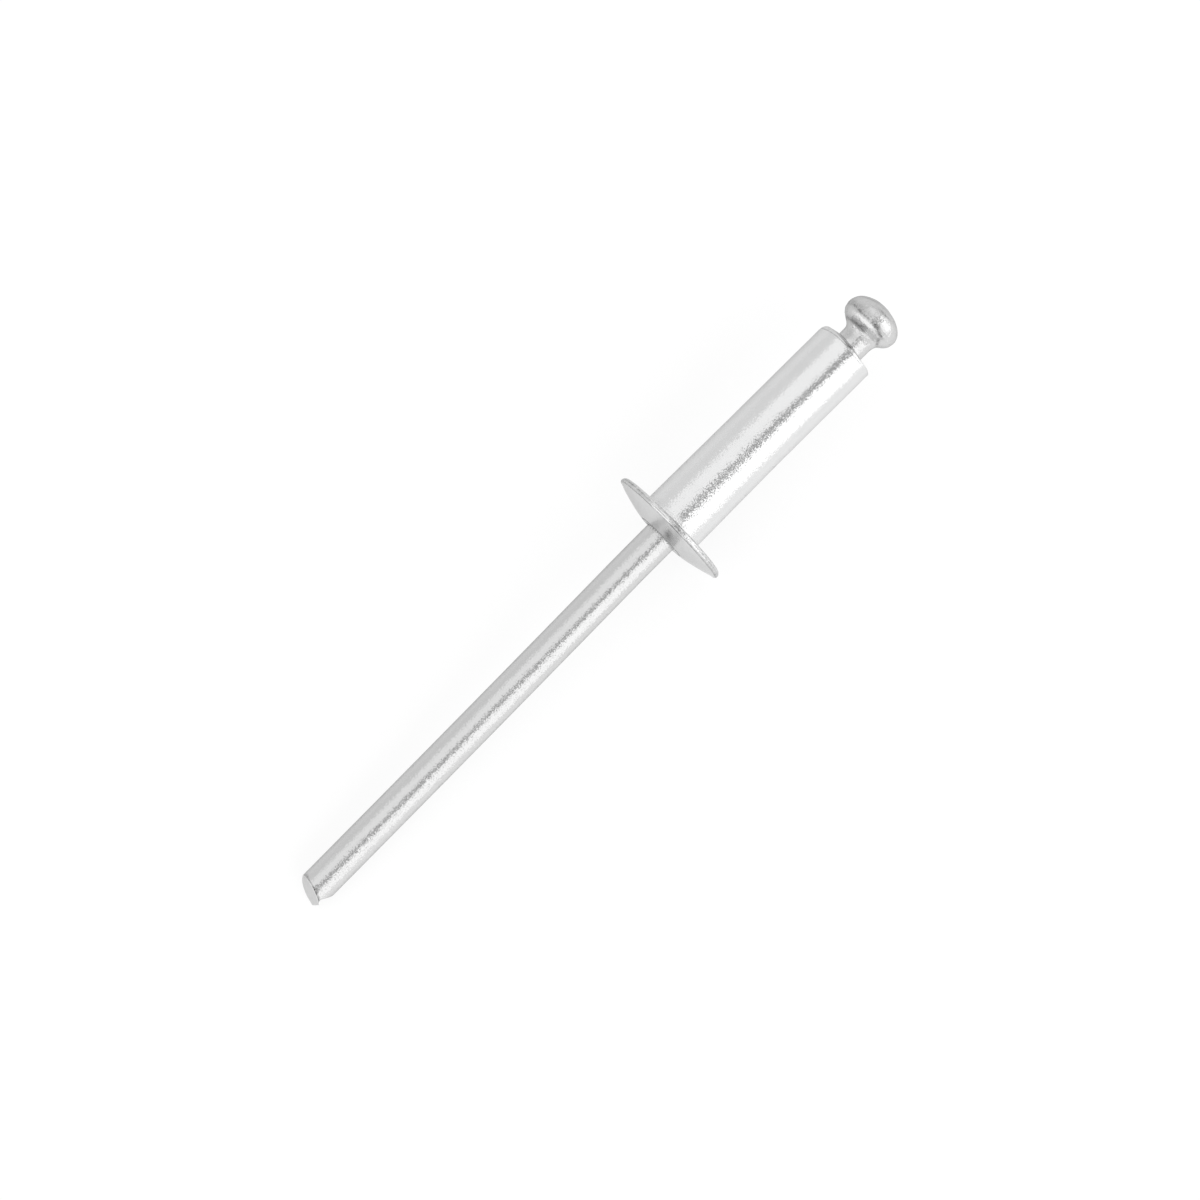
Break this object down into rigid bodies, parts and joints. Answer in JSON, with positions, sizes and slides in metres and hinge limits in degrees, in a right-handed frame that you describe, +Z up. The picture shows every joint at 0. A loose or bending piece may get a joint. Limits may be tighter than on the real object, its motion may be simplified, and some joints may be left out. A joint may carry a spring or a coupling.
{
  "type": "pop rivet",
  "caption": "Open-end blind rivet: aluminium sleeve with a low domed flange, crimped over the neck of a steel mandrel with a mushroom head and a sheared tail.",
  "frame": {"origin": "on the surface the rivet lies on, under the middle of its overall length and width", "axes": "+X along the rivet from the mandrel's tail to its head, +Z up. The rivet lies on its flange rim and its tail, so its own axis is in the XZ plane and climbs 5.618 degrees towards the head"},
  "size_m": [0.0582, 0.0098, 0.0097],
  "materials": {
    "body_aluminium": "bright cold-formed aluminium alloy with a fine satin grain",
    "mandrel_steel": "drawn steel wire, bright zinc plated, with faint lengthwise drawing lines"
  },
  "bodies": {
    "root": {"rivet_body": "body_aluminium", "mandrel": "mandrel_steel"}
  },
  "joints": []
}
